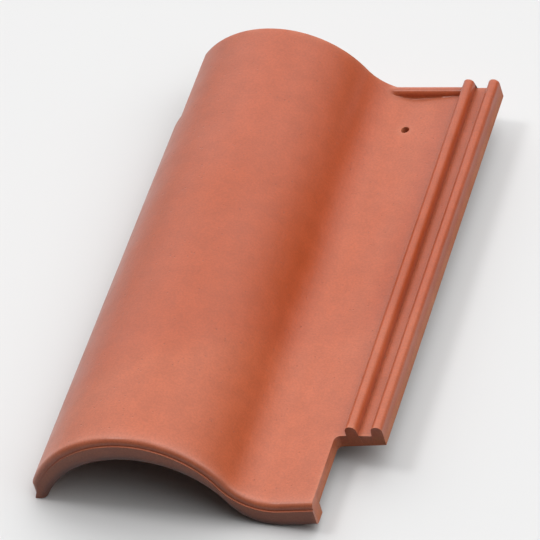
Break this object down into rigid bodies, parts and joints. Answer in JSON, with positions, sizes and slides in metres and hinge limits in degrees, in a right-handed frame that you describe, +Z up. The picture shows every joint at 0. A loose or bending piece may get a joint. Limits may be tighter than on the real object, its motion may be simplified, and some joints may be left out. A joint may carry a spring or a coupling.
{
  "type": "roof pantile",
  "caption": "Fired clay roof pantile with a wide roll, a narrow pan, a rounded front nose, a ribbed side lock, a hanging nib and a nail hole.",
  "frame": {"origin": "middle of the footprint on the floor under the resting tile", "axes": "+Y from the rounded front to the head, +X from the roll to the side lock, +Z up from the floor"},
  "size_m": [0.2522, 0.44, 0.0719],
  "materials": {
    "terracotta": "satin fired clay"
  },
  "bodies": {
    "root": {"roof_pantile": "terracotta"}
  },
  "joints": []
}
